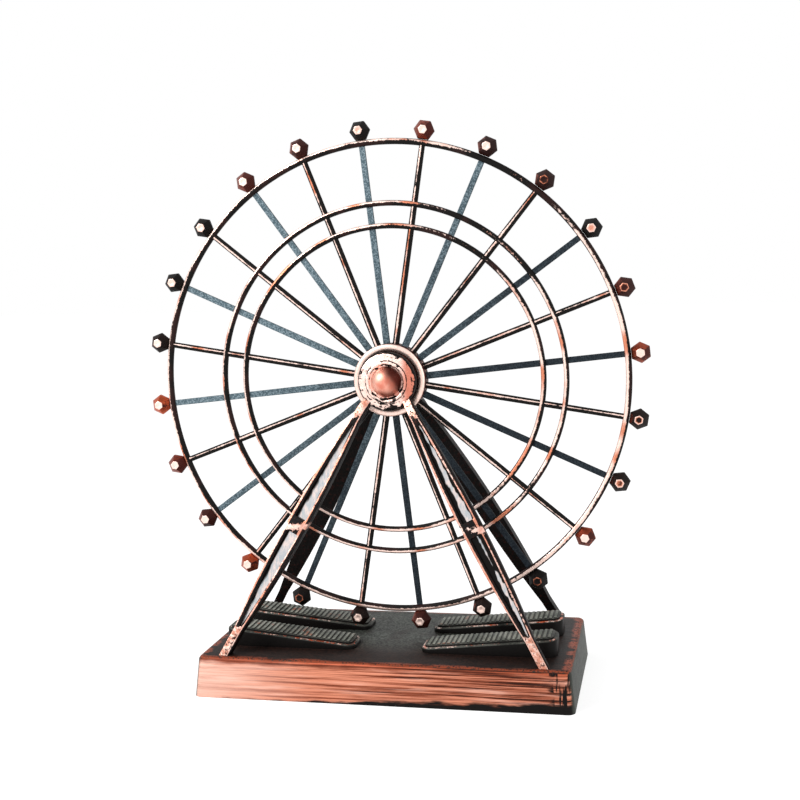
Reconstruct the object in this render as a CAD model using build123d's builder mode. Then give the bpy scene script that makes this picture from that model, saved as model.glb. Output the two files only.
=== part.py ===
from build123d import *
from math import asin, atan2, cos, degrees, hypot, pi, radians, sin, tan
import os

# Tabletop ornament: a spoked observation wheel that turns by hand between two leaning
# A-frames on a rectangular plinth.
#
# All sizes are in millimetres. +Z is up, the wheel turns about an axle along Y, and the
# front is towards -Y. The origin is on the table, under the middle of the plinth.

# ---------------------------------------------------------------- driving sizes
# Plinth
base_length = 85.6
base_depth = 42.8
base_height = 9.3
base_flare = 0.9
base_corner_radius = 1.2
base_edge_radius = 0.9
base_wall = 2.2
base_roof = 2.4
peg_boss_radius = 2.3
peg_boss_clear_of_table = 1.4

# Boarding ramps on the plinth
ramp_inner_x = 7.8
ramp_end_inset = 3.8
ramp_clear_of_wheel = 1.2
ramp_width = 8.7
ramp_low_height = 0.95
ramp_high_height = 4.1
ramp_corner_radius = 2.4
ramp_edge = 0.4
tread_inset = 0.8
tread_rise = 0.8
rib_pitch = 1.15
rib_width = 0.65
rib_height = 0.4

# Wheel
wheel_clear_of_plinth = 1.9
outer_ring_radius = 54.9
middle_ring_radius = 40.9
inner_ring_radius = 35.7
outer_ring_width = 1.45
inner_ring_width = 1.3
ring_depth = 1.5
ring_edge = 0.42
spoke_pairs = 12
rest_angle = 5.8
spoke_root_width = 1.6
spoke_tip_width = 1.35
spoke_root_gap = 0.2
rod_spoke_depth = 1.0
rod_edge = 0.3
flat_spoke_depth = 0.6

# Capsules round the rim
capsule_sides = 6
capsule_corner_radius = 2.44
capsule_face_radius = 1.05
capsule_depth = 4.6
capsule_girdle_depth = 0.7

# Hub and axle
axle_radius = 1.5
axle_tail = 1.4
dome_radius = 3.6
dome_height = 2.7
hub_radius = 8.5
hub_depth = 5.2
hub_rim_width = 1.7
hub_rim_edge = 0.5
hub_recess = 0.6
barrel_radius = 3.1
washer_radius = 3.1
washer_thickness = 0.3

# A-frames
frame_plate = 2.4
boss_radius = 6.5
boss_edge = 0.7
collar_radius = 5.0
collar_width = 1.1
collar_rise = 0.5
collar_edge = 0.3
leg_thickness = 2.2
leg_neck_width = 2.1
leg_widest = 4.8
leg_ridge_width = 1.15
leg_web_depth = 1.0
leg_rib_width = 1.8
leg_edge = 0.4
leg_neck_length = 10.6
leg_foot_length = 6.5
leg_top_spread = 2.2
foot_end_inset = 6.0
foot_side_inset = 2.6
peg_radius = 0.9
peg_length = 4.2

# Clearances
running_clearance = 0.05
seat_clearance = 0.03
washer_gap = 0.1
peg_end_clearance = 0.2
spoke_end_clearance = 0.1

# ---------------------------------------------------------------- derived sizes
capsule_count = 2 * spoke_pairs
capsule_step = 360 / capsule_count
# Angles run anticlockwise from +X in a view from the front.
rod_start_angle = 90 + rest_angle - capsule_step
flat_start_angle = 90 + rest_angle
outer_ring_edge = outer_ring_radius + outer_ring_width / 2
capsule_apothem = capsule_corner_radius * cos(pi / capsule_sides)
capsule_face_apothem = capsule_face_radius * cos(pi / capsule_sides)
capsule_half_side = capsule_corner_radius * sin(pi / capsule_sides)
capsule_circle_radius = outer_ring_edge + seat_clearance + capsule_apothem
wheel_radius = hypot(capsule_circle_radius + capsule_apothem, capsule_half_side)
axle_height = base_height + wheel_clear_of_plinth + wheel_radius
spoke_root_radius = (spoke_root_width + spoke_root_gap) / (2 * tan(radians(capsule_step / 2)))
flat_spoke_setback = (rod_spoke_depth - flat_spoke_depth) / 2
barrel_flange_radius = spoke_root_radius - spoke_end_clearance
hub_half = hub_depth / 2
hub_disc_inner_y = rod_spoke_depth / 2 + seat_clearance
hub_disc_outer_y = hub_half - hub_recess
foot_spread = base_length / 2 - foot_end_inset
foot_front = base_depth / 2 - foot_side_inset
boss_inner_y = hub_half + washer_thickness + 2 * washer_gap
boss_outer_y = boss_inner_y + frame_plate
frame_mid_y = boss_inner_y + frame_plate / 2
dome_sphere_radius = (dome_radius**2 + dome_height**2) / (2 * dome_height)
dome_half_angle = asin(dome_radius / dome_sphere_radius)
frame_drop = axle_height - base_height
frame_lean = atan2(foot_front - frame_mid_y, frame_drop)
slope_length = hypot(foot_front - frame_mid_y, frame_drop)
leg_angle = atan2(foot_spread - leg_top_spread, slope_length)
leg_length = hypot(foot_spread - leg_top_spread, slope_length)
leg_start = dome_radius
lens_start = leg_neck_length
lens_end = leg_length - leg_foot_length
lens_middle = (lens_start + lens_end) / 2
axle_line = Axis((0, 0, axle_height), (0, 1, 0))
wheel_plane = Plane(origin=(0, 0, axle_height), x_dir=(1, 0, 0), z_dir=(0, -1, 0))
section_plane = Plane(origin=(0, 0, axle_height), x_dir=(1, 0, 0), z_dir=(0, 0, 1))

os.makedirs("parts", exist_ok=True)


def finish(builder, name):
    """Label a finished piece and write it to its own file."""
    builder.part.label = name
    export_step(builder.part, f"parts/{name}.step")


# ---------------------------------------------------------------- plinth
def flared_block(length, depth):
    """A rectangular block that flares a little from its top face down to the table."""
    with BuildPart() as block:
        with BuildSketch(Plane.XY):
            RectangleRounded(
                length + 2 * base_flare, depth + 2 * base_flare, base_corner_radius + base_flare
            )
        extrude(amount=base_height, taper=degrees(atan2(base_flare, base_height)))
    return block.part


peg_places = [(side * foot_spread, row * foot_front) for side in (-1, 1) for row in (-1, 1)]

with BuildPart() as hollow:
    add(flared_block(base_length - 2 * base_wall, base_depth - 2 * base_wall))
    with BuildSketch(Plane.XY.offset(base_height)):
        Rectangle(base_length, base_depth)
    extrude(amount=-base_roof, mode=Mode.SUBTRACT)
    with BuildSketch(Plane.XY.offset(peg_boss_clear_of_table)):
        with Locations(*peg_places):
            Circle(peg_boss_radius)
    extrude(amount=base_height, mode=Mode.SUBTRACT)

with BuildPart() as base:
    add(flared_block(base_length, base_depth))
    fillet(base.faces().sort_by(Axis.Z)[-1].edges(), radius=base_edge_radius)
    add(hollow.part, mode=Mode.SUBTRACT)
    with BuildSketch(Plane.XY.offset(base_height)):
        with Locations(*peg_places):
            Circle(peg_radius + running_clearance)
    extrude(amount=-(peg_length + peg_end_clearance), mode=Mode.SUBTRACT)
finish(base, "base")


# ---------------------------------------------------------------- boarding ramps
ramp_outer_x = base_length / 2 - ramp_end_inset
ramp_length = ramp_outer_x - ramp_inner_x
ramp_slope = atan2(ramp_high_height - ramp_low_height, ramp_length)
ramp_mid_height = (ramp_low_height + ramp_high_height) / 2
ramp_mid_x = (ramp_inner_x + ramp_outer_x) / 2
ramp_mid_y = capsule_depth / 2 + ramp_clear_of_wheel + ramp_width / 2
tread_length = ramp_length - 2 * tread_inset
groove_count = int(tread_length / rib_pitch)


def make_ramp(side, row):
    """A wedge that rises towards the plinth's end, with a raised and ribbed tread."""
    foot_plane = Plane(
        origin=(side * ramp_mid_x, row * ramp_mid_y, base_height),
        x_dir=(side, 0, 0),
        z_dir=(0, 0, 1),
    )
    top_plane = Plane(
        origin=(side * ramp_mid_x, row * ramp_mid_y, base_height + ramp_mid_height),
        x_dir=(side * cos(ramp_slope), 0, sin(ramp_slope)),
        z_dir=(-side * sin(ramp_slope), 0, cos(ramp_slope)),
    )
    with BuildPart() as ramp:
        with BuildSketch(foot_plane):
            RectangleRounded(ramp_length, ramp_width, ramp_corner_radius)
        extrude(amount=ramp_high_height + tread_rise)
        split(bisect_by=top_plane, keep=Keep.BOTTOM)
        chamfer(ramp.faces().sort_by(Axis.Z)[-1].edges(), length=ramp_edge)
        with BuildSketch(top_plane):
            RectangleRounded(
                tread_length, ramp_width - 2 * tread_inset, ramp_corner_radius - tread_inset
            )
        extrude(amount=tread_rise)
        with BuildSketch(top_plane.offset(tread_rise)):
            with GridLocations(rib_pitch, 0, groove_count, 1):
                Rectangle(rib_pitch - rib_width, ramp_width)
        extrude(amount=-rib_height, mode=Mode.SUBTRACT)
    return ramp


for row_name, row in (("front", -1), ("rear", 1)):
    for side_name, side in (("left", -1), ("right", 1)):
        finish(make_ramp(side, row), f"{row_name}_{side_name}_ramp")


# ---------------------------------------------------------------- A-frames
def leg_point(side, along, across):
    """A point beside one leg's centre line, in the frame's own sloping plane."""
    x = leg_top_spread + along * sin(leg_angle) + across * cos(leg_angle)
    y = across * sin(leg_angle) - along * cos(leg_angle)
    return (side * x, y)


def leg_outline(side):
    """Straight neck at the boss, lens-shaped middle, and straight foot."""
    neck = leg_neck_width / 2
    wide = leg_widest / 2
    below = leg_length + leg_thickness
    with BuildSketch() as outline:
        with BuildLine():
            Line(leg_point(side, leg_start, -neck), leg_point(side, lens_start, -neck))
            ThreePointArc(
                leg_point(side, lens_start, -neck),
                leg_point(side, lens_middle, -wide),
                leg_point(side, lens_end, -neck),
            )
            Polyline(
                leg_point(side, lens_end, -neck),
                leg_point(side, below, -neck),
                leg_point(side, below, neck),
                leg_point(side, lens_end, neck),
            )
            ThreePointArc(
                leg_point(side, lens_end, neck),
                leg_point(side, lens_middle, wide),
                leg_point(side, lens_start, neck),
            )
            Polyline(
                leg_point(side, lens_start, neck),
                leg_point(side, leg_start, neck),
                leg_point(side, leg_start, -neck),
            )
        make_face()
    return outline.sketch


def leg_web_outline(side):
    """The pointed recesses between a leg's two ridges, above and below its cross rib."""
    wide = leg_widest / 2 - leg_ridge_width
    with BuildSketch() as outline:
        with BuildLine():
            ThreePointArc(
                leg_point(side, lens_start, 0),
                leg_point(side, lens_middle, -wide),
                leg_point(side, lens_end, 0),
            )
            ThreePointArc(
                leg_point(side, lens_end, 0),
                leg_point(side, lens_middle, wide),
                leg_point(side, lens_start, 0),
            )
        make_face()
        with Locations(leg_point(side, lens_middle, 0)):
            Rectangle(
                leg_widest, leg_rib_width, rotation=side * degrees(leg_angle), mode=Mode.SUBTRACT
            )
    return outline.sketch


def boss_section(facing):
    """Half section of the round boss, with the raised collar that rings the axle's head."""
    with BuildSketch() as section:
        with Locations((boss_radius / 2, facing * frame_mid_y)):
            Rectangle(boss_radius, frame_plate)
        outwards = Axis((0, 0, 0), (0, facing, 0))
        boss_corner = section.vertices().group_by(Axis.X)[-1].sort_by(outwards)[-1]
        chamfer(boss_corner, length=boss_edge)
        with Locations((collar_radius - collar_width / 2, facing * boss_outer_y)):
            Rectangle(collar_width, 2 * collar_rise)
        chamfer(section.vertices().group_by(outwards)[-1], length=collar_edge)
    return section.sketch


def make_frame(facing):
    """One casting: a round boss for the axle and two ridged legs that lean outwards.

    facing is -1 for the front frame and 1 for the rear one. The ridges are on the
    outside, the side towards the wheel is flat, and each foot ends in a peg.
    """
    slope_plane = Plane(
        origin=(0, facing * frame_mid_y, axle_height),
        x_dir=(-facing, 0, 0),
        z_dir=(0, facing * cos(frame_lean), sin(frame_lean)),
    )
    boss_plane = Plane(
        origin=(0, facing * boss_inner_y, axle_height),
        x_dir=(-facing, 0, 0),
        z_dir=(0, facing, 0),
    )
    with BuildPart() as frame:
        for side in (-1, 1):
            with BuildSketch(slope_plane):
                add(leg_outline(side))
            extrude(amount=leg_thickness / 2, both=True)
        outer_faces = frame.faces().sort_by(Axis((0, 0, 0), slope_plane.z_dir))[-2:]
        chamfer(outer_faces.edges(), length=leg_edge)
        for side in (-1, 1):
            with BuildSketch(slope_plane.offset(leg_thickness / 2)):
                add(leg_web_outline(side))
            extrude(amount=-leg_web_depth, mode=Mode.SUBTRACT)
        split(bisect_by=Plane.XY.offset(base_height), keep=Keep.TOP)
        with BuildSketch(Plane.XY.offset(base_height)):
            with Locations((-foot_spread, facing * foot_front), (foot_spread, facing * foot_front)):
                Circle(peg_radius)
        extrude(amount=-peg_length)
        with BuildSketch(section_plane):
            add(boss_section(facing))
        revolve(axis=axle_line)
        with BuildSketch(boss_plane):
            Circle(axle_radius + running_clearance)
        extrude(amount=frame_plate, mode=Mode.SUBTRACT)
    return frame


finish(make_frame(-1), "front_frame")
finish(make_frame(1), "rear_frame")


# ---------------------------------------------------------------- axle, end cap and washers
def dome_section(face_y, facing):
    """Half section of a domed head that sits on a boss, for revolving about the axle."""
    crown_y = face_y + facing * dome_height
    flank_drop = dome_sphere_radius * (1 - cos(dome_half_angle / 2))
    flank = (dome_sphere_radius * sin(dome_half_angle / 2), crown_y - facing * flank_drop)
    with BuildSketch() as section:
        with BuildLine():
            Polyline((0, crown_y), (0, face_y), (dome_radius, face_y))
            ThreePointArc((dome_radius, face_y), flank, (0, crown_y))
        make_face()
    return section.sketch


with BuildPart() as axle:
    with BuildSketch(section_plane):
        add(dome_section(-boss_outer_y, -1))
        with Locations((axle_radius / 2, axle_tail / 2)):
            Rectangle(axle_radius, 2 * boss_outer_y + axle_tail)
    revolve(axis=axle_line)
finish(axle, "axle")

with BuildPart() as axle_end_cap:
    with BuildSketch(section_plane):
        add(dome_section(boss_outer_y, 1))
        with Locations((0, boss_outer_y)):
            Rectangle(
                2 * (axle_radius + seat_clearance),
                2 * (axle_tail + seat_clearance),
                mode=Mode.SUBTRACT,
            )
    revolve(axis=axle_line)
finish(axle_end_cap, "axle_end_cap")

for row_name, row in (("front", -1), ("rear", 1)):
    with BuildPart() as washer:
        with BuildSketch(wheel_plane.offset(-row * (hub_half + washer_gap + washer_thickness / 2))):
            Circle(washer_radius)
            Circle(axle_radius + running_clearance, mode=Mode.SUBTRACT)
        extrude(amount=washer_thickness / 2, both=True)
    finish(washer, f"{row_name}_washer")


# ---------------------------------------------------------------- hub
with BuildPart() as hub_barrel:
    with BuildSketch(wheel_plane):
        Circle(barrel_radius)
    extrude(amount=hub_half, both=True)
    with BuildSketch(wheel_plane):
        Circle(barrel_flange_radius)
    extrude(amount=rod_spoke_depth / 2, both=True)
    with BuildSketch(wheel_plane):
        Circle(axle_radius + running_clearance)
    extrude(amount=hub_half, both=True, mode=Mode.SUBTRACT)
finish(hub_barrel, "hub_barrel")

for row_name, row in (("front", -1), ("rear", 1)):
    with BuildPart() as hub_disc:
        with BuildSketch(section_plane) as disc_section:
            with BuildLine():
                Polyline(
                    (barrel_radius + seat_clearance, row * hub_disc_inner_y),
                    (hub_radius, row * hub_disc_inner_y),
                    (hub_radius, row * hub_half),
                    (hub_radius - hub_rim_width, row * hub_half),
                    (hub_radius - hub_rim_width, row * hub_disc_outer_y),
                    (barrel_radius + seat_clearance, row * hub_disc_outer_y),
                    close=True,
                )
            make_face()
            rim_corners = disc_section.vertices().sort_by(Axis((0, 0, 0), (0, row, 0)))[-2:]
            chamfer(rim_corners, length=hub_rim_edge)
        revolve(axis=axle_line)
    finish(hub_disc, f"{row_name}_hub_disc")


# ---------------------------------------------------------------- spokes
def make_spokes(start_angle, depth, setback, edge, grow):
    """Twelve tapered spokes that reach from between the hub discs into the outer ring.

    grow widens them all round, which gives the cutter for their holes in the rings.
    """
    root = spoke_root_radius
    tip = outer_ring_radius + (spoke_end_clearance if grow else 0)
    with BuildPart() as spokes:
        with BuildSketch(wheel_plane.offset(-setback)):
            with PolarLocations(0, spoke_pairs, start_angle=start_angle):
                Polygon(
                    (root, -spoke_root_width / 2 - grow),
                    (tip, -spoke_tip_width / 2 - grow),
                    (tip, spoke_tip_width / 2 + grow),
                    (root, spoke_root_width / 2 + grow),
                    align=None,
                )
        extrude(amount=depth / 2 + grow, both=True)
        if edge:
            long_edges = spokes.edges().filter_by(lambda side: side.length > inner_ring_radius)
            chamfer(long_edges, length=edge)
    return spokes


rod_spokes = make_spokes(rod_start_angle, rod_spoke_depth, 0, rod_edge, 0)
flat_spokes = make_spokes(flat_start_angle, flat_spoke_depth, flat_spoke_setback, 0, 0)
finish(rod_spokes, "rod_spokes")
finish(flat_spokes, "flat_spokes")
rod_holes = make_spokes(rod_start_angle, rod_spoke_depth, 0, rod_edge, seat_clearance)
flat_holes = make_spokes(flat_start_angle, flat_spoke_depth, flat_spoke_setback, 0, seat_clearance)


# ---------------------------------------------------------------- rings
def make_ring(radius, width):
    """An eight-sided bar bent to a full circle and pierced for the spokes that it carries."""
    with BuildPart() as ring:
        with BuildSketch(section_plane) as bar:
            with Locations((radius, 0)):
                Rectangle(width, ring_depth)
            chamfer(bar.vertices(), length=ring_edge)
        revolve(axis=axle_line)
        add(rod_holes.part, mode=Mode.SUBTRACT)
        add(flat_holes.part, mode=Mode.SUBTRACT)
    return ring


finish(make_ring(outer_ring_radius, outer_ring_width), "outer_ring")
finish(make_ring(middle_ring_radius, inner_ring_width), "middle_ring")
finish(make_ring(inner_ring_radius, inner_ring_width), "inner_ring")


# ---------------------------------------------------------------- capsules
def make_capsule(angle):
    """A six-sided cut bead, seated on the outer ring with one of its flats."""
    centre = (capsule_circle_radius * cos(radians(angle)), capsule_circle_radius * sin(radians(angle)))
    with BuildPart() as capsule:
        with BuildSketch(wheel_plane):
            with Locations(centre):
                RegularPolygon(
                    capsule_corner_radius, capsule_sides, rotation=angle + 180 / capsule_sides
                )
        extrude(amount=capsule_depth / 2)
        front_face = capsule.faces().sort_by(Axis.Y)[0]
        chamfer(
            front_face.edges(),
            length=capsule_apothem - capsule_face_apothem,
            length2=(capsule_depth - capsule_girdle_depth) / 2,
            reference=front_face,
        )
        mirror(about=Plane.XZ)
    return capsule


for index in range(capsule_count):
    finish(make_capsule(flat_start_angle - index * capsule_step), f"capsule_{index + 1:02d}")
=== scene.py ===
from math import asin, atan2, copysign, cos, hypot, pi, radians, sin

import bmesh
import bpy
from mathutils import Matrix, Vector, noise


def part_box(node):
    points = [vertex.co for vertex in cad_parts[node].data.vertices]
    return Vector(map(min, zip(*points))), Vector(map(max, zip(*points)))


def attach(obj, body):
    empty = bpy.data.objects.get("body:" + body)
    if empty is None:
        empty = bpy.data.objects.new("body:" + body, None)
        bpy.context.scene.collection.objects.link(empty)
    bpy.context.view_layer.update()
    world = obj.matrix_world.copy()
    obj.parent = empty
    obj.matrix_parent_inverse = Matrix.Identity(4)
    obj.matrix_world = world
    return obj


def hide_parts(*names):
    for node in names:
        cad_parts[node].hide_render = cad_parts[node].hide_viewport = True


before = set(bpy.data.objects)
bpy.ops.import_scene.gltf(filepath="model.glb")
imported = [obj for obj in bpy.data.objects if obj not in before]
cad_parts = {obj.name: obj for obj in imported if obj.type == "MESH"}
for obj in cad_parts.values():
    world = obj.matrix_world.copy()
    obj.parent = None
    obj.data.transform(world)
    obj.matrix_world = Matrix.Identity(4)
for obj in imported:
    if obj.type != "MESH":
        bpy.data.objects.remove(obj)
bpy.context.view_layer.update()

# ================================================================ plinth
# The plinth is a hollow zinc casting that flares a little towards the table. It was plated
# with copper, dipped black, and brushed bright again on its front and along its edges.
mm = 0.001
# A hair's breadth, to tell whether a point lies at a level.
hair = 0.01 * mm
plinth_low, plinth_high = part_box("base")
plinth_flare = 0.9 * mm
plinth_corner = 1.7 * mm
plinth_edge = 0.8 * mm
plinth_wall = 2.2 * mm
plinth_rim_edge = 0.15 * mm
plinth_hollow_height = 6.9 * mm
peg_boss_radius = 2.3 * mm
peg_boss_low = 1.4 * mm
foot_spread = 36.8 * mm
foot_front = 18.8 * mm


def colour(red, green, blue):
    """A colour as the eye reads it, from 0 to 255, as the linear values that a shader takes."""
    channels = (red, green, blue)
    return tuple(((c / 255 + 0.055) / 1.055) ** 2.4 if c > 10 else c / 3295 for c in channels) + (1,)


patina_black = colour(10, 7, 6)
patina_brown = colour(40, 25, 20)
patina_green = colour(80, 85, 78)
copper_red = colour(196, 88, 52)
copper = colour(212, 132, 102)
copper_pale = colour(240, 192, 174)
copper_white = colour(248, 218, 206)


def soften(bm, edges, width, segments):
    """Round off edges the way a worn mould and tumbling leave them."""
    bmesh.ops.bevel(
        bm,
        geom=edges,
        offset=width,
        offset_type="OFFSET",
        segments=segments,
        profile=0.5,
        affect="EDGES",
        clamp_overlap=True,
        material=-1,
    )


def pull_faces(bm, faces, move):
    """Extrude faces along a vector, leaving none of them behind where they joined others."""
    edges = {e for f in faces for e in f.edges}
    pulled = bmesh.ops.extrude_face_region(bm, geom=list(faces) + list(edges))["geom"]
    pulled_verts = [g for g in pulled if isinstance(g, bmesh.types.BMVert)]
    pulled_faces = [g for g in pulled if isinstance(g, bmesh.types.BMFace)]
    bmesh.ops.translate(bm, vec=move, verts=pulled_verts)
    return pulled_verts, pulled_faces


def place_piece(bm, name, body, materials, nodes):
    """Turn a finished mesh into a piece that rides on its body and stands for its CAD nodes."""
    mesh = bpy.data.meshes.new(name)
    bm.normal_update()
    bm.to_mesh(mesh)
    bm.free()
    for polygon in mesh.polygons:
        polygon.use_smooth = True
    mesh.set_sharp_from_angle(angle=radians(38))
    for material in materials:
        mesh.materials.append(material)
    piece = bpy.data.objects.new(name, mesh)
    bpy.context.scene.collection.objects.link(piece)
    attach(piece, body)
    if nodes:
        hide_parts(*nodes)
    return piece


# Short forms for the shader nodes that the finishes below are made of.
def add_node(tree, kind, inputs, **settings):
    node = tree.nodes.new(kind)
    for name, value in settings.items():
        setattr(node, name, value)
    for key, value in inputs.items():
        if isinstance(value, bpy.types.NodeSocket):
            tree.links.new(value, node.inputs[key])
        else:
            node.inputs[key].default_value = value
    return node


def calculate(operation, *values):
    """A math node, in the node tree that its values come from."""
    tree = next(value.id_data for value in values if isinstance(value, bpy.types.NodeSocket))
    return add_node(tree, "ShaderNodeMath", dict(enumerate(values)), operation=operation).outputs[0]


def multiply(first, second):
    return calculate("MULTIPLY", first, second)


def multiply_add(value, factor, added):
    return calculate("MULTIPLY_ADD", value, factor, added)


def subtract(value, taken):
    return calculate("SUBTRACT", value, taken)


def larger(first, second):
    return calculate("MAXIMUM", first, second)


def absolute(value):
    return calculate("ABSOLUTE", value)


def step_between(value, low, high):
    """0 below low, 1 above high and smooth between them; low may be the larger."""
    if low > high:
        return subtract(1.0, step_between(value, high, low))
    inputs = {"Value": value, "From Min": low, "From Max": high}
    return add_node(value.id_data, "ShaderNodeMapRange", inputs, interpolation_type="SMOOTHSTEP").outputs[0]


def blend_colours(factor, first, second):
    inputs = {0: factor, 6: first, 7: second}
    return add_node(factor.id_data, "ShaderNodeMix", inputs, data_type="RGBA").outputs[2]


def cloudy(vector, scale, stretch=(1, 1, 1), detail=3.0, roughness=0.55):
    """Noise with about one patch per 1/scale millimetre, stretched along the small factors."""
    per_metre = [factor * scale / mm for factor in stretch]
    placed = add_node(vector.id_data, "ShaderNodeMapping", {"Vector": vector, "Scale": per_metre})
    inputs = {"Vector": placed.outputs[0], "Scale": 1.0, "Detail": detail, "Roughness": roughness}
    return add_node(vector.id_data, "ShaderNodeTexNoise", inputs).outputs["Fac"]


def new_finish(name):
    """An empty node material, its Principled shader, its coordinates and its normal."""
    material = bpy.data.materials.new(name)
    material.use_nodes = True
    tree = material.node_tree
    shader = tree.nodes["Principled BSDF"]
    coordinates = add_node(tree, "ShaderNodeTexCoord", {}).outputs
    return material, shader, coordinates["Object"], coordinates["Normal"]


def feed(shader, name, value):
    """Let a value from the nodes drive one input of the shader."""
    shader.id_data.links.new(value, shader.inputs[name])


def split_vector(vector):
    return add_node(vector.id_data, "ShaderNodeSeparateXYZ", {0: vector}).outputs


def roughen(shader, height, distance):
    """Let the surface stand up by a distance where the height is 1."""
    inputs = {"Height": height, "Distance": distance, "Strength": 1.0}
    feed(shader, "Normal", add_node(shader.id_data, "ShaderNodeBump", inputs).outputs[0])


def wear_and_painted_highlight_group():
    """Wear shared by every dipped piece: where the dip is rubbed off, as a mask from 0 to 1. On the rings,
    rods, beads and frames it also carries a painted highlight.

    Proud says how much a spot sticks out to be rubbed. Speckles and patches break the edge of
    the worn place up, and Level is how hard it is to get through.
    """
    group = bpy.data.node_groups.new("wear_and_painted_highlight", "ShaderNodeTree")
    for socket in ("Proud", "Speckles", "Patches", "Level"):
        group.interface.new_socket(socket, in_out="INPUT", socket_type="NodeSocketFloat")
    group.interface.new_socket("Mask", in_out="OUTPUT", socket_type="NodeSocketFloat")
    inputs = group.nodes.new("NodeGroupInput").outputs
    place = add_node(group, "ShaderNodeTexCoord", {}).outputs["Object"]
    speckle = cloudy(place, 1.3, detail=4.0, roughness=0.7)
    patch = cloudy(place, 0.1, detail=2.0)
    total = multiply_add(speckle, inputs["Speckles"], inputs["Proud"])
    total = multiply_add(patch, inputs["Patches"], total)
    total = subtract(total, inputs["Level"])
    result = group.nodes.new("NodeGroupOutput")
    group.links.new(step_between(total, 0.0, 0.12), result.inputs["Mask"])
    return group


wear_and_painted_highlight = wear_and_painted_highlight_group()


def wear_and_highlight_mask(proud, speckles, patches, level):
    inputs = {"Proud": proud, "Speckles": speckles, "Patches": patches, "Level": level}
    return add_node(proud.id_data, "ShaderNodeGroup", inputs, node_tree=wear_and_painted_highlight).outputs["Mask"]


def show_metal(shader, mask, dark, metal, roughness):
    """Copper where the mask is 1, the matte dip where it is 0."""
    feed(shader, "Base Color", blend_colours(mask, dark, metal))
    feed(shader, "Metallic", multiply(mask, 0.9))
    feed(shader, "Roughness", multiply_add(mask, roughness - 0.5, 0.5))
    shader.inputs["Specular IOR Level"].default_value = 0.12


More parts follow.
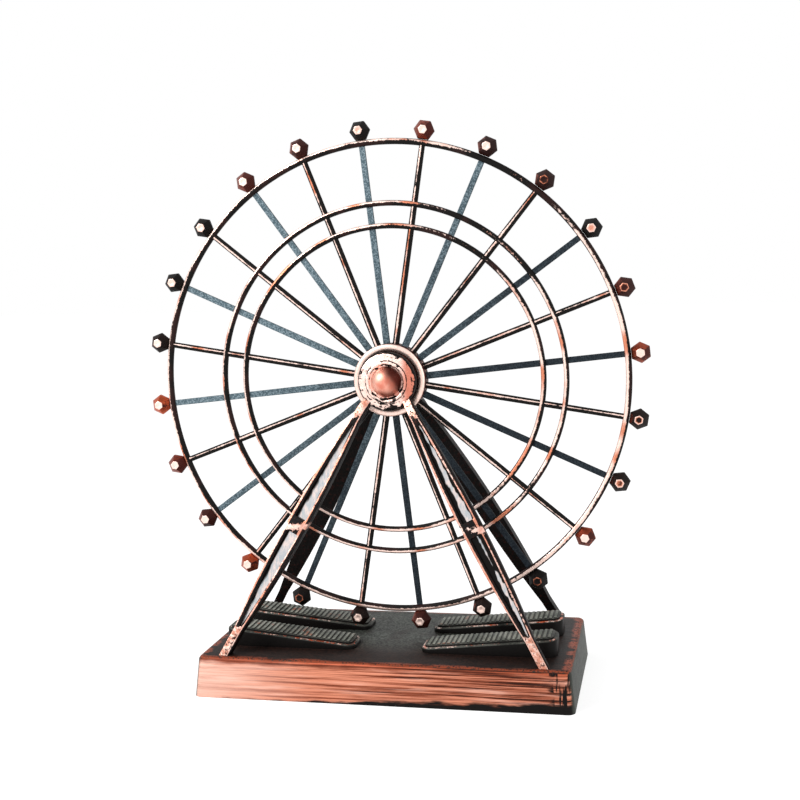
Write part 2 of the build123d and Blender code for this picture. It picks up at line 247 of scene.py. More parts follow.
def plinth_finish():
    material, shader, place, normal = new_finish("plinth_brushed_copper_and_painted_highlight")
    x, y, z = split_vector(place)
    _, ny, nz = split_vector(normal)
    strokes = cloudy(place, 1.0, stretch=(0.035, 0.2, 2.4), detail=5.0, roughness=0.7)
    broad = cloudy(place, 0.16, detail=3.0)
    wash = cloudy(place, 0.5, stretch=(0.1, 1, 1.6), detail=3.0)
    upright_strokes = cloudy(place, 0.6, stretch=(1.3, 0.2, 0.16), detail=3.0, roughness=0.6)
    smear = cloudy(place, 0.5, stretch=(0.25, 1, 1.2), detail=4.0)
    fine = cloudy(place, 2.2, detail=4.0)
    facing_front = step_between(ny, -0.5, -0.85)
    facing_up = step_between(nz, 0.72, 0.97)
    # Brushed front: copper with darker strokes, paler towards the left where a highlight of the light at the
    # left is painted in, red at the top edge.
    to_right = step_between(x, -15 * mm, 40 * mm)
    brown_strokes = multiply_add(to_right, 0.07, 0.36)
    brushed = step_between(subtract(strokes, brown_strokes), 0.0, 0.2)
    brushed = blend_colours(brushed, colour(128, 62, 42), colour(214, 140, 112))
    washed = multiply(step_between(wash, 0.5, 0.75), 0.6)
    brushed = blend_colours(washed, brushed, copper_pale)
    # Painted highlight: the front turns peach towards the left, under the light.
    painted_left_highlight = step_between(multiply_add(strokes, 22 * mm, x), -2 * mm, -36 * mm)
    peach = blend_colours(step_between(strokes, 0.4, 0.6), copper_pale, colour(252, 222, 208))
    brushed = blend_colours(multiply(painted_left_highlight, 0.6), brushed, peach)
    smeared_height = multiply_add(smear, 2.2 * mm, z)
    top_band = step_between(smeared_height, 8.5 * mm, 9.8 * mm)
    band_colour = blend_colours(step_between(strokes, 0.4, 0.6), colour(88, 42, 30), colour(172, 90, 64))
    brushed = blend_colours(top_band, brushed, band_colour)
    # Patina left in the brushed front: along the bottom towards the right, and at the right end.
    low_line = multiply_add(x, 0.03, 0.4 * mm)
    low_patina = subtract(multiply_add(smear, 3.2 * mm, low_line), z)
    low_patina = step_between(low_patina, 0.6 * mm, 1.5 * mm)
    towards_end = multiply_add(smear, 18 * mm, x)
    level_marks = step_between(towards_end, 45 * mm, 49 * mm)
    level_marks = multiply(level_marks, step_between(strokes, 0.5, 0.42))
    upright_marks = step_between(towards_end, 45.5 * mm, 48.5 * mm)
    upright_marks = multiply(upright_marks, step_between(upright_strokes, 0.52, 0.46))
    end_patina = larger(level_marks, upright_marks)
    scratch_limit = multiply_add(to_right, 0.12, 0.33)
    scratch = step_between(subtract(strokes, scratch_limit), 0.03, -0.03)
    left_in = larger(low_patina, end_patina)
    left_in = larger(left_in, multiply(scratch, 0.85))
    front_metal = subtract(1.0, left_in)
    # Top: dark patina, greener in the middle, rubbed to copper along its edges.
    from_middle = absolute(x)
    green = step_between(from_middle, 30 * mm, 6 * mm)
    green = multiply(green, step_between(y, -14 * mm, -2 * mm))
    green = multiply(green, step_between(broad, 0.25, 0.5))
    top_colour = blend_colours(green, patina_brown, patina_green)
    top_colour = blend_colours(step_between(fine, 0.35, 0.65), patina_black, top_colour)
    edge_x = subtract(from_middle, 41.2 * mm)
    edge_y = subtract(absolute(y), 20.3 * mm)
    near_edge = multiply_add(smear, 3.0 * mm, larger(edge_x, edge_y))
    rubbed = step_between(near_edge, 0.9 * mm, 2.0 * mm)
    rubbed = multiply(rubbed, step_between(fine, 0.38, 0.5))
    rubbed = multiply(rubbed, step_between(smear, 0.36, 0.52))
    top_colour = blend_colours(rubbed, top_colour, colour(150, 74, 50))
    # Ends and back: dark grey-green with a little copper rubbed through.
    side_rub = step_between(fine, 0.55, 0.68)
    side_rub = multiply(side_rub, step_between(z, 1.5 * mm, 8.4 * mm))
    side_colour = blend_colours(broad, patina_black, patina_green)
    side_colour = blend_colours(side_rub, side_colour, patina_brown)
    side_top = step_between(z, 8.6 * mm, 9.1 * mm)
    side_top = multiply(side_top, step_between(fine, 0.4, 0.52))
    side_colour = blend_colours(side_top, side_colour, colour(150, 70, 44))
    front_colour = blend_colours(left_in, brushed, patina_black)
    base_colour = blend_colours(facing_front, side_colour, front_colour)
    base_colour = blend_colours(facing_up, base_colour, top_colour)
    metal = multiply(facing_front, front_metal)
    metal = larger(metal, multiply(facing_up, rubbed))
    feed(shader, "Base Color", base_colour)
    shader.inputs["Specular IOR Level"].default_value = 0.12
    feed(shader, "Metallic", multiply(metal, 0.85))
    feed(shader, "Roughness", multiply_add(strokes, 0.25, 0.38))
    roughen(shader, multiply_add(strokes, 0.6, fine), 0.05 * mm)
    return material


plinth = bmesh.new()
bmesh.ops.create_cube(plinth, size=1)
bmesh.ops.scale(plinth, vec=plinth_high - plinth_low, verts=plinth.verts)
bmesh.ops.translate(plinth, vec=(plinth_low + plinth_high) / 2, verts=plinth.verts)
plinth_size = plinth_high - plinth_low
top_corners = [v for v in plinth.verts if v.co.z > plinth_high.z / 2]
top_scale = (1 - 2 * plinth_flare / plinth_size.x, 1 - 2 * plinth_flare / plinth_size.y, 1)
bmesh.ops.scale(plinth, vec=top_scale, verts=top_corners)
upright = [e for e in plinth.edges if abs(e.verts[0].co.z - e.verts[1].co.z) > plinth_size.z / 2]
soften(plinth, upright, plinth_corner, 5)
top_edges = [e for e in plinth.edges if min(v.co.z for v in e.verts) > plinth_high.z - hair]
soften(plinth, top_edges, plinth_edge, 4)
plinth.normal_update()
underside = [f for f in plinth.faces if f.normal.z < -0.9]
bmesh.ops.inset_region(plinth, faces=underside, thickness=plinth_wall, use_even_offset=True)
pull_faces(plinth, underside, (0, 0, plinth_hollow_height))
rim_edges = [e for e in plinth.edges if max(v.co.z for v in e.verts) < hair]
soften(plinth, rim_edges, plinth_rim_edge, 2)
for side in (-1, 1):
    for row in (-1, 1):
        boss_height = plinth_hollow_height - peg_boss_low
        boss_middle = Vector((side * foot_spread, row * foot_front, peg_boss_low + boss_height / 2))
        bmesh.ops.create_cone(
            plinth,
            cap_ends=True,
            segments=28,
            radius1=peg_boss_radius,
            radius2=peg_boss_radius,
            depth=boss_height,
            matrix=Matrix.Translation(boss_middle),
        )
place_piece(plinth, "plinth", "stand", [plinth_finish()], ["base"])


# ================================================================ boarding ramps
# Four cast ramps stand on the plinth, two on each side of the wheel. Each is a wedge with a
# rounded lip and a raised tread of cross ribs; the dip stayed on them, the lips are rubbed.
ramp_rim_width = 0.8 * mm
ramp_corner = 2.4 * mm
ramp_edge = 0.45 * mm
ramp_low_height = 0.95 * mm
ramp_high_height = 4.1 * mm
tread_height = 0.45 * mm
tread_corner = ramp_corner - ramp_rim_width
tread_edge = 0.12 * mm
rib_thickness = 0.255 * mm
rib_lift = 0.05 * mm
rib_pitch = 1.15 * mm
rib_width = 0.68 * mm
rib_edge = 0.1 * mm
rib_inset = 0.25 * mm
lip_depth = 1.5 * ramp_edge


def mesh_value(shader, name):
    """A value that was laid on the points of the mesh under this name."""
    return add_node(shader.id_data, "ShaderNodeAttribute", {}, attribute_name=name).outputs["Fac"]


def ramp_finish():
    material, shader, place, normal = new_finish("ramp_patina_and_painted_glint")
    nz = split_vector(normal)[2]
    patches = cloudy(place, 0.22, detail=3.0)
    fine = cloudy(place, 2.0, detail=4.0)
    facing_up = step_between(nz, 0.6, 0.95)
    worn_top = step_between(multiply_add(fine, 0.5, patches), 0.55, 0.85)
    tread = blend_colours(worn_top, colour(92, 96, 88), colour(140, 142, 132))
    tread = blend_colours(step_between(patches, 0.58, 0.7), tread, colour(142, 92, 72))
    gaps = blend_colours(worn_top, colour(40, 42, 38), colour(84, 84, 78))
    tread = blend_colours(multiply(facing_up, mesh_value(shader, "rib")), gaps, tread)
    lip = step_between(mesh_value(shader, "lip"), 0.3, 0.95)
    rub = wear_and_highlight_mask(lip, 1.5, 1.1, 2.3)
    wall = blend_colours(step_between(nz, 0.3, 0.6), patina_black, tread)
    # Painted glints: pale spots on the rubbed lips stand in for highlights of the light.
    painted_glint = step_between(multiply_add(fine, 0.5, patches), 0.68, 0.8)
    show_metal(shader, rub, wall, blend_colours(painted_glint, copper_red, copper_white), 0.34)
    roughen(shader, fine, 0.05 * mm)
    return material


ramp_material = ramp_finish()


def make_ramp(node):
    """A wedge with a rounded lip, a raised tread and cross ribs, in the space of its node."""
    low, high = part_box(node)
    side = 1 if low.x > 0 else -1
    middle = (low + high) / 2
    length = high.x - low.x
    width = high.y - low.y
    slope = (ramp_high_height - ramp_low_height) / length
    ramp = bmesh.new()
    lip_layer = ramp.verts.layers.float.new("lip")
    rib_layer = ramp.verts.layers.float.new("rib")
    middle_height = (ramp_low_height + ramp_high_height) / 2

    def climb(x):
        """How much higher the slope is at x than in the ramp's middle."""
        return side * (x - middle.x) * slope

    def block(block_length, block_width, corner, bottom, top, edge):
        """A rounded block whose top, and bottom if it is raised, follow the slope."""
        made = bmesh.ops.create_cube(ramp, size=1)["verts"]
        bmesh.ops.scale(ramp, vec=(block_length, block_width, top - bottom), verts=made)
        bmesh.ops.translate(ramp, vec=(middle.x, middle.y, plinth_high.z + (top + bottom) / 2), verts=made)
        edges = {e for v in made for e in v.link_edges}
        upright = [e for e in edges if abs(e.verts[0].co.z - e.verts[1].co.z) > edge / 2]
        before = set(ramp.verts) - set(made)
        soften(ramp, upright, corner, 6)
        made = [v for v in ramp.verts if v not in before]
        for v in made:
            if v.co.z > plinth_high.z + hair:
                v.co.z += climb(v.co.x)
        ramp.normal_update()
        crown = {f for v in made for f in v.link_faces if f.normal.z > 0.5}
        crown_edges = {e for f in crown for e in f.edges if len(e.link_faces) == 2}
        outline = [e for e in crown_edges if not all(f in crown for f in e.link_faces)]
        soften(ramp, outline, edge, 3)
        return [v for v in ramp.verts if v not in before]

    slab = block(length, width, ramp_corner, 0, middle_height, ramp_edge)
    for v in slab:
        depth_below_top = plinth_high.z + middle_height + climb(v.co.x) - v.co.z
        v[lip_layer] = max(0.0, 1 - depth_below_top / lip_depth)
    tread_length = length - 2 * ramp_rim_width
    tread_width = width - 2 * ramp_rim_width
    tread_top = middle_height + tread_height
    block(tread_length, tread_width, tread_corner, middle_height - ramp_edge, tread_top, tread_edge)
    rib_count = int(tread_length / rib_pitch)
    for index in range(rib_count):
        x = middle.x + (index - (rib_count - 1) / 2) * rib_pitch
        # Ribs near the ends are shorter, because the tread's corners are round.
        into_corner = max(0, tread_corner - (tread_length / 2 - abs(x - middle.x)))
        shortened = tread_corner - (tread_corner**2 - into_corner**2) ** 0.5 + rib_inset
        rib = bmesh.ops.create_cube(ramp, size=1)["verts"]
        z = plinth_high.z + tread_top + climb(x) + rib_lift
        bmesh.ops.scale(ramp, vec=(rib_width, tread_width - 2 * shortened, rib_thickness), verts=rib)
        bmesh.ops.translate(ramp, vec=(x, middle.y, z), verts=rib)
        before = set(ramp.verts) - set(rib)
        soften(ramp, list({e for v in rib for e in v.link_edges}), rib_edge, 2)
        for v in ramp.verts:
            if v not in before:
                v[rib_layer] = 1.0
    place_piece(ramp, f"{node}_cast", "stand", [ramp_material], [node])


for row_name in ("front", "rear"):
    for side_name in ("left", "right"):
        make_ramp(f"{row_name}_{side_name}_ramp")


# ================================================================ wheel rings
# Three cast rings carry the spokes. The dip stayed black on their flanks; their fronts and
# outer shoulders were rubbed back to a pale, speckled copper.
axle_height = (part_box("outer_ring")[0].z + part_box("outer_ring")[1].z) / 2
axle_centre = Vector((0, 0, axle_height))
ring_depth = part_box("outer_ring")[1].y * 2
ring_steps = 240
weld_distance = 0.002 * mm
ring_sizes = {
    "outer_ring": (54.9 * mm, 1.45 * mm),
    "middle_ring": (40.9 * mm, 1.3 * mm),
    "inner_ring": (35.7 * mm, 1.3 * mm),
}


def from_axle(place):
    """Where a spot lies as seen from the middle of the axle."""
    inputs = {0: place, 1: axle_centre}
    return add_node(place.id_data, "ShaderNodeVectorMath", inputs, operation="SUBTRACT").outputs[0]


def ring_finish():
    """Rubbed on the front and the outer shoulder, above the axle on the upper one, below it on the lower;
    the pale copper on the left shoulder is a painted highlight.
    """
    material, shader, place, normal = new_finish("ring_rubbed_copper_and_painted_highlight")
    spot = from_axle(place)
    outwards = add_node(spot.id_data, "ShaderNodeVectorMath", {0: spot}, operation="NORMALIZE").outputs[0]
    height = split_vector(outwards)[2]
    nx, ny, nz = split_vector(normal)
    # Painted highlight: faces turned to the light at the left count as rubbed; the front and outward faces
    # stand for real wear.
    proud = multiply_add(nx, -0.75, absolute(ny))
    proud = multiply_add(multiply(height, nz), 0.75, proud)
    x, _, z = split_vector(spot)
    low_right = step_between(multiply_add(z, -1.0, x), -20 * mm, 35 * mm)
    proud = multiply_add(low_right, 0.2, proud)
    mask = wear_and_highlight_mask(proud, 0.6, 0.7, 1.73)
    tone = cloudy(place, 0.12, detail=2.0)
    metal_colour = blend_colours(step_between(tone, 0.36, 0.52), copper, copper_white)
    dark = blend_colours(step_between(tone, 0.5, 0.6), patina_black, colour(38, 20, 18))
    show_metal(shader, mask, dark, metal_colour, 0.36)
    roughen(shader, calculate("ADD", mask, cloudy(place, 2.5)), 0.03 * mm)
    return material


def spin_profile(bm, profile, steps):
    """Turn a profile of (radius, y) points, closed on itself or ending on the axle, full circle."""
    points = [bm.verts.new((radius, y, axle_height)) for radius, y in profile]
    edges = [bm.edges.new(pair) for pair in zip(points, points[1:])]
    if profile[0][0] > hair:
        edges.append(bm.edges.new((points[-1], points[0])))
    turn = {"cent": axle_centre, "axis": (0, 1, 0), "angle": 2 * pi, "steps": steps}
    bmesh.ops.spin(bm, geom=points + edges, use_merge=True, **turn)
    bmesh.ops.remove_doubles(bm, verts=bm.verts, dist=weld_distance)
    bmesh.ops.recalc_face_normals(bm, faces=bm.faces)


ring_material = ring_finish()
for ring_name, (radius, width) in ring_sizes.items():
    ring = bmesh.new()
    section_steps = 20
    section = []
    # A bar a little squarer than round.
    squareness = 0.8
    for step in range(section_steps):
        turn = 2 * pi * step / section_steps
        across = copysign(abs(cos(turn)) ** squareness, cos(turn)) * width / 2
        along = copysign(abs(sin(turn)) ** squareness, sin(turn)) * ring_depth / 2
        section.append((radius + across, along))
    spin_profile(ring, section, ring_steps)
    place_piece(ring, f"{ring_name}_bar", "wheel", [ring_material], [ring_name])


# ================================================================ spokes
# Twelve round-backed rods run from the hub through the rings, with a painted highlight streak
# broken into rubbed copper along their lit side, and twelve flat, matte spokes lie between them,
# set back, with the blue-grey of the bare dip and painted shade towards the lower right.
spoke_pairs = 12
rest_angle = radians(5.8)
spoke_root = 6.9 * mm
spoke_tip = 54.9 * mm
spoke_root_width = 1.6 * mm
spoke_tip_width = 1.35 * mm
rod_edge = 0.42 * mm
flat_spoke_edge = 0.08 * mm


def make_spokes(name, first_angle, edge, segments, material):
    low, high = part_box(name)
    depth = high.y - low.y
    spokes = bmesh.new()
    across_layer = spokes.verts.layers.float.new("across")
    for index in range(spoke_pairs):
        bar = bmesh.ops.create_cube(spokes, size=1)["verts"]
        bmesh.ops.scale(spokes, vec=(spoke_tip - spoke_root, depth, spoke_root_width), verts=bar)
        tip = [v for v in bar if v.co.x > 0]
        bmesh.ops.scale(spokes, vec=(1, 1, spoke_tip_width / spoke_root_width), verts=tip)
        bmesh.ops.translate(spokes, vec=((spoke_root + spoke_tip) / 2, (low.y + high.y) / 2, 0), verts=bar)
        long_edges = {e for v in bar for e in v.link_edges if e.calc_length() > spoke_root}
        before = set(spokes.verts) - set(bar)
        soften(spokes, list(long_edges), edge, segments)
        bar = [v for v in spokes.verts if v not in before]
        angle = first_angle - index * 2 * pi / spoke_pairs
        # 1 along the edge that faces the light at the upper left, where the rods' painted highlight runs, -1
        # along the other.
        lit_side = 1 if 0.8 * sin(angle) + 0.6 * cos(angle) > 0 else -1
        for v in bar:
            v[across_layer] = lit_side * v.co.z / (spoke_tip_width / 2)
        bmesh.ops.rotate(spokes, cent=(0, 0, 0), matrix=Matrix.Rotation(-angle, 3, "Y"), verts=bar)
        bmesh.ops.translate(spokes, vec=axle_centre, verts=bar)
    place_piece(spokes, f"{name}_bars", "wheel", [material], [name])


def rod_finish():
    """A painted highlight, broken up like rubbed copper, runs along the side that faces the light at the
    upper left; the rest stayed black.
    """
    material, shader, place, _ = new_finish("rod_rubbed_copper_and_painted_highlight")
    # Painted highlight: the pale streak sits on the side lit from the upper left.
    from_painted_streak = absolute(subtract(mesh_value(shader, "across"), 0.3))
    proud = multiply_add(from_painted_streak, -2.0, 1.0)
    mask = wear_and_highlight_mask(proud, 1.3, 1.5, 1.98)
    tone = cloudy(place, 0.14, detail=2.0)
    metal_colour = blend_colours(step_between(tone, 0.34, 0.48), copper, copper_white)
    show_metal(shader, mask, patina_black, metal_colour, 0.36)
    roughen(shader, calculate("ADD", mask, cloudy(place, 2.5)), 0.03 * mm)
    return material


def flat_spoke_finish():
    material, shader, place, normal = new_finish("flat_spoke_dip_and_painted_shade")
    x, _, z = split_vector(place)
    grain = cloudy(place, 3.0, detail=3.0)
    patch = cloudy(place, 0.15, detail=2.0)
    # Painted shade: the dip darkens towards the lower right, away from the light, and its pale grain specks
    # fade there.
    painted_shade_slope = multiply_add(x, 0.6, multiply(z, -0.5))
    painted_shade = step_between(multiply_add(patch, 25 * mm, painted_shade_slope), -48 * mm, -8 * mm)
    base_colour = blend_colours(painted_shade, colour(72, 90, 98), colour(20, 27, 34))
    speck = multiply_add(painted_shade, -0.92, 1.0)
    speck = multiply(step_between(grain, 0.44, 0.62), speck)
    base_colour = blend_colours(speck, base_colour, colour(124, 140, 148))
    facing = absolute(split_vector(normal)[1])
    base_colour = blend_colours(step_between(facing, 0.3, 0.7), colour(22, 24, 28), base_colour)
    feed(shader, "Base Color", base_colour)
    shader.inputs["Specular IOR Level"].default_value = 0.15
    feed(shader, "Roughness", multiply_add(grain, 0.2, 0.6))
    roughen(shader, grain, 0.04 * mm)
    return material


capsule_step = pi / spoke_pairs
flat_start = pi / 2 + rest_angle
make_spokes("rod_spokes", flat_start - capsule_step, rod_edge, 4, rod_finish())
make_spokes("flat_spokes", flat_start, flat_spoke_edge, 1, flat_spoke_finish())


# ================================================================ hub
# The hub is a barrel that turns on the axle between two discs. The discs clamp the spokes'
# roots, and each has a raised rim that was rubbed to a pale copper.
hub_radius = 8.5 * mm
hub_half = 2.6 * mm
hub_rim_width = 1.7 * mm
hub_rim_rise = 0.5 * mm
hub_recess = 0.6 * mm
seat_gap = 0.03 * mm
hub_disc_inner = 0.53 * mm
turned_steps = 96
barrel_steps = 64
barrel_radius = 3.1 * mm
barrel_bore = 1.55 * mm
barrel_flange = 6.7 * mm
barrel_flange_half = 0.5 * mm


def off_axle(x, z):
    """How far a spot is from the axle's middle line."""
    return calculate("SQRT", multiply_add(x, x, multiply(z, z)))


def hub_finish():
    material, shader, place, normal = new_finish("hub_rubbed_copper")
    x, _, z = split_vector(from_axle(place))
    fine = cloudy(place, 1.6, detail=4.0)
    facing = absolute(split_vector(normal)[1])
    on_rim = step_between(off_axle(x, z), 6.6 * mm, 7.1 * mm)
    proud = multiply(on_rim, facing)
    mask = wear_and_highlight_mask(proud, 0.5, 0.3, 0.85)
    worn = blend_colours(step_between(fine, 0.5, 0.75), copper_white, copper_pale)
    dark = blend_colours(step_between(fine, 0.4, 0.7), patina_black, colour(104, 40, 30))
    show_metal(shader, mask, dark, worn, 0.34)
    roughen(shader, fine, 0.05 * mm)
    return material


def rounded_rim(outer, width, foot, rise):
    """The points of a half-round rim, from its outer side to its inner side."""
    steps = 8
    turns = [pi * step / steps for step in range(1, steps)]
    return [(outer - width / 2 * (1 - cos(turn)), foot + rise * sin(turn)) for turn in turns]


hub_material = hub_finish()
barrel = bmesh.new()
barrel_profile = [
    (barrel_bore, -hub_half),
    (barrel_radius, -hub_half),
    (barrel_radius, -barrel_flange_half),
    (barrel_flange, -barrel_flange_half),
    (barrel_flange, barrel_flange_half),
    (barrel_radius, barrel_flange_half),
    (barrel_radius, hub_half),
    (barrel_bore, hub_half),
]
spin_profile(barrel, barrel_profile, barrel_steps)
place_piece(barrel, "hub_barrel_turned", "wheel", [hub_material], ["hub_barrel"])

# A disc's profile for the rear; the front one is its mirror image.
disc_bore = barrel_radius + seat_gap
disc_rim_foot = hub_half - hub_rim_rise
disc_profile = [(disc_bore, hub_disc_inner), (hub_radius, hub_disc_inner), (hub_radius, disc_rim_foot)]
disc_profile += rounded_rim(hub_radius, hub_rim_width, disc_rim_foot, hub_rim_rise)
disc_profile += [
    (hub_radius - hub_rim_width, disc_rim_foot),
    (hub_radius - hub_rim_width, hub_half - hub_recess),
    (disc_bore, hub_half - hub_recess),
]
for row_name, row in (("front", -1), ("rear", 1)):
    disc = bmesh.new()
    spin_profile(disc, [(radius, row * y) for radius, y in disc_profile], turned_steps)
    disc_node = f"{row_name}_hub_disc"
    place_piece(disc, f"{disc_node}_cast", "wheel", [hub_material], [disc_node])


# ================================================================ capsules
# Twenty-four six-sided beads sit on the outer ring, cast with it. Each narrows to a small
# front and back facet with a dimple; some were rubbed to copper, others stayed black.
capsule_count = 2 * spoke_pairs
capsule_circle = 57.77 * mm
capsule_corner = 2.44 * mm
capsule_face = 1.05 * mm
capsule_depth = 4.6 * mm
capsule_girdle = 0.7 * mm
capsule_dimple = 0.42 * mm
capsule_dimple_depth = 0.16 * mm
capsule_edge = 0.09 * mm
# A six-sided face is 0.866 times as wide to its flats as to its corners.
dimple_inset = capsule_face * 0.866 - capsule_dimple
# Clockwise from the top: how far each bead, its facets and their dimples are rubbed to copper.
bead_rub = "0 6 2 2 0 3 7 1 1 7 0 1 3 1 0 8 3 6 9 1 0 0 5 3".split()
facet_rub = "7 8 8 4 7 5 8 7 7 9 4 8 8 8 4 9 8 8 9 9 7 7 8 8".split()
dimple_rub = "6 8 8 1 5 1 8 1 3 9 1 8 8 8 1 9 8 8 9 9 7 7 8 8".split()


def capsule_finish():
    material, shader, place, normal = new_finish("bead_rubbed_copper_and_painted_highlight")
    rub = mesh_value(shader, "rub")
    facet = mesh_value(shader, "facet")
    fine = cloudy(place, 1.4, detail=4.0, roughness=0.65)
    nx, ny, _ = split_vector(normal)
    facing = step_between(absolute(ny), 0.7, 0.9)
    front = step_between(multiply_add(fine, 0.6, facet), 0.5, 0.8)
    front = multiply(front, facing)
    # Painted highlight: flanks that face the light at the left are rubbed brighter than the bead's own wear.
    flank = multiply_add(nx, -0.4, rub)
    flank = multiply_add(mesh_value(shader, "edge"), 0.16, flank)
    flank = wear_and_highlight_mask(flank, 0.9, 0.3, 1.15)
    flank_colour = blend_colours(step_between(rub, 0.5, 1.1), colour(120, 54, 40), copper_red)
    facet_colour = blend_colours(step_between(facet, 0.4, 0.8), copper, copper_white)
    dark = blend_colours(step_between(rub, 0.0, 0.6), patina_black, colour(72, 28, 22))
    metal_colour = blend_colours(front, flank_colour, facet_colour)
    show_metal(shader, larger(flank, front), dark, metal_colour, 0.36)
    roughen(shader, fine, 0.05 * mm)
    return material


capsule_material = capsule_finish()
for index in range(capsule_count):
    angle = flat_start - index * capsule_step
    bead = bmesh.new()
    rub_layer = bead.verts.layers.float.new("rub")
    facet_layer = bead.verts.layers.float.new("facet")
    edge_layer = bead.verts.layers.float.new("edge")
    girdle = {"radius1": capsule_corner, "radius2": capsule_corner, "depth": capsule_girdle}
    bmesh.ops.create_cone(bead, cap_ends=True, segments=6, **girdle)
    caps = [f for f in bead.faces if len(f.verts) == 6]
    narrowing = capsule_face / capsule_corner
    for cap in caps:
        way = 1 if cap.calc_center_median().z > 0 else -1
        crown_verts = pull_faces(bead, [cap], (0, 0, way * (capsule_depth - capsule_girdle) / 2))[0]
        bmesh.ops.scale(bead, vec=(narrowing, narrowing, 1), verts=crown_verts)
    soften(bead, list(bead.edges), capsule_edge, 2)
    bead.normal_update()
    for facet_face in [f for f in bead.faces if len(f.verts) == 6 and abs(f.normal.z) > 0.99]:
        way = 1 if facet_face.normal.z > 0 else -1
        bmesh.ops.inset_region(bead, faces=[facet_face], thickness=dimple_inset)
        bmesh.ops.translate(bead, vec=(0, 0, -way * capsule_dimple_depth), verts=facet_face.verts)
    for v in bead.verts:
        on_facet = abs(v.co.z) > capsule_depth / 2 - 0.2 * mm
        in_dimple = on_facet and hypot(v.co.x, v.co.y) < capsule_dimple * 1.2
        v[rub_layer] = int(bead_rub[index]) / 10
        v[edge_layer] = 0 if abs(v.co.z) > capsule_depth / 4 else 1
        v[facet_layer] = int((dimple_rub if in_dimple else facet_rub)[index]) / 10 if on_facet else 0
    bmesh.ops.rotate(bead, cent=(0, 0, 0), matrix=Matrix.Rotation(pi / 2, 3, "X"), verts=bead.verts)
    bmesh.ops.translate(bead, vec=(capsule_circle, 0, 0), verts=bead.verts)
    bmesh.ops.rotate(bead, cent=(0, 0, 0), matrix=Matrix.Rotation(-angle, 3, "Y"), verts=bead.verts)
    bmesh.ops.translate(bead, vec=axle_centre, verts=bead.verts)
    number = f"{index + 1:02d}"
    name = f"capsule_bead_{number}"
    place_piece(bead, name, "wheel", [capsule_material], [f"capsule_{number}"])


# ================================================================ A-frames
# Each A-frame is one casting: a round boss for the axle and two leaning, lens-shaped legs.
# Two rubbed ridges edge a sunken web on the outside, painted bright as a reflection of the light; the inside
# is plain and black.
boss_inner = 3.1 * mm
boss_outer = 5.5 * mm
boss_radius = 6.8 * mm
boss_bore = 1.55 * mm
collar_radius = 5.0 * mm
collar_width = 1.1 * mm
collar_rise = 0.5 * mm
boss_steps = 120
boss_edge = 0.7 * mm
boss_lump = 0.9 * mm
boss_lump_rise = 0.16 * mm
boss_lump_limit = 0.08 * mm
boss_smooth_radius = 3.7 * mm
boss_face_step = 0.45 * mm
leg_thickness = 2.2 * mm
leg_neck_width = 2.1 * mm
leg_widest = 4.8 * mm
leg_ridge_width = 0.989 * mm
leg_web_depth = 1.0 * mm
leg_rib_width = 1.8 * mm
leg_edge = 0.42 * mm
leg_neck_length = 10.6 * mm
leg_foot_length = 6.5 * mm
leg_start = 4.3 * mm
leg_merge_length = 3.0 * mm
leg_merge_drop = 1.3 * mm
leg_top_spread = 2.2 * mm
frame_middle = (boss_inner + boss_outer) / 2
frame_drop = axle_height - plinth_high.z
frame_lean = atan2(foot_front - frame_middle, frame_drop)
slope_length = hypot(foot_front - frame_middle, frame_drop)
leg_angle = atan2(foot_spread - leg_top_spread, slope_length)
leg_length = hypot(foot_spread - leg_top_spread, slope_length)
lens_start = leg_neck_length
lens_end = leg_length - leg_foot_length
lens_middle = (lens_start + lens_end) / 2
cross_rib_height = axle_height - lens_middle * cos(leg_angle) * cos(frame_lean)


def facing_away(y, normal):
    """How far a face looks away from the wheel, from -1 to 1."""
    return multiply(calculate("SIGN", y), split_vector(normal)[1])


def frame_finish():
    """Black dip, rubbed where a face looks away from the wheel, and pale at necks and feet; the ridges' left
    shoulders also carry a painted highlight.
    """
    material, shader, place, normal = new_finish("frame_rubbed_copper_and_painted_highlight")
    x, y, z = split_vector(place)
    away = facing_away(y, normal)
    across = mesh_value(shader, "across")
    fine = cloudy(place, 1.1, detail=4.0, roughness=0.7)
    patch = cloudy(place, 0.12, detail=2.0)
    # A rubbed line along the outer shoulder of one ridge and the inner shoulder of the other; both face
    # left, and the line is partly a painted highlight from the light at the left.
    first_ridge = step_between(across, -0.66, -0.84)
    from_second = absolute(subtract(across, 0.6))
    second_ridge = multiply(step_between(from_second, 0.22, 0.08), 0.85)
    neck = step_between(z, axle_height - 11 * mm, axle_height - 7 * mm)
    neck = multiply(neck, step_between(across, 0.95, 0.6))
    foot = step_between(z, plinth_high.z + 8.5 * mm, plinth_high.z + 6 * mm)
    foot = multiply(foot, step_between(across, 0.9, 0.3))
    from_rib = absolute(subtract(z, cross_rib_height))
    from_rib = multiply_add(subtract(fine, 0.5), 2.4 * mm, from_rib)
    rib = multiply(step_between(from_rib, 1.1 * mm, 0.4 * mm), 0.8)
    proud = larger(larger(first_ridge, second_ridge), rib)
    right_leg = multiply(step_between(x, 0, 4 * mm), step_between(patch, 0.42, 0.58))
    proud = multiply_add(right_leg, -0.16, proud)
    ends = larger(neck, foot)
    proud = larger(proud, multiply(ends, 0.76))
    outside = step_between(away, 0.05, 0.3)
    mask = multiply(wear_and_highlight_mask(proud, 1.0, 0.7, 1.44), outside)
    tone = multiply_add(larger(ends, rib), 0.3, patch)
    tone = multiply_add(subtract(fine, 0.5), 0.6, tone)
    end_colour = blend_colours(step_between(fine, 0.4, 0.62), colour(204, 138, 116), colour(240, 204, 190))
    metal_colour = blend_colours(step_between(tone, 0.35, 0.8), colour(206, 136, 112), copper_white)
    metal_colour = blend_colours(ends, metal_colour, end_colour)
    dark = blend_colours(step_between(fine, 0.5, 0.7), patina_black, colour(44, 16, 12))
    show_metal(shader, mask, dark, metal_colour, 0.36)
    roughen(shader, multiply_add(mask, 0.3, fine), 0.12 * mm)
    return material


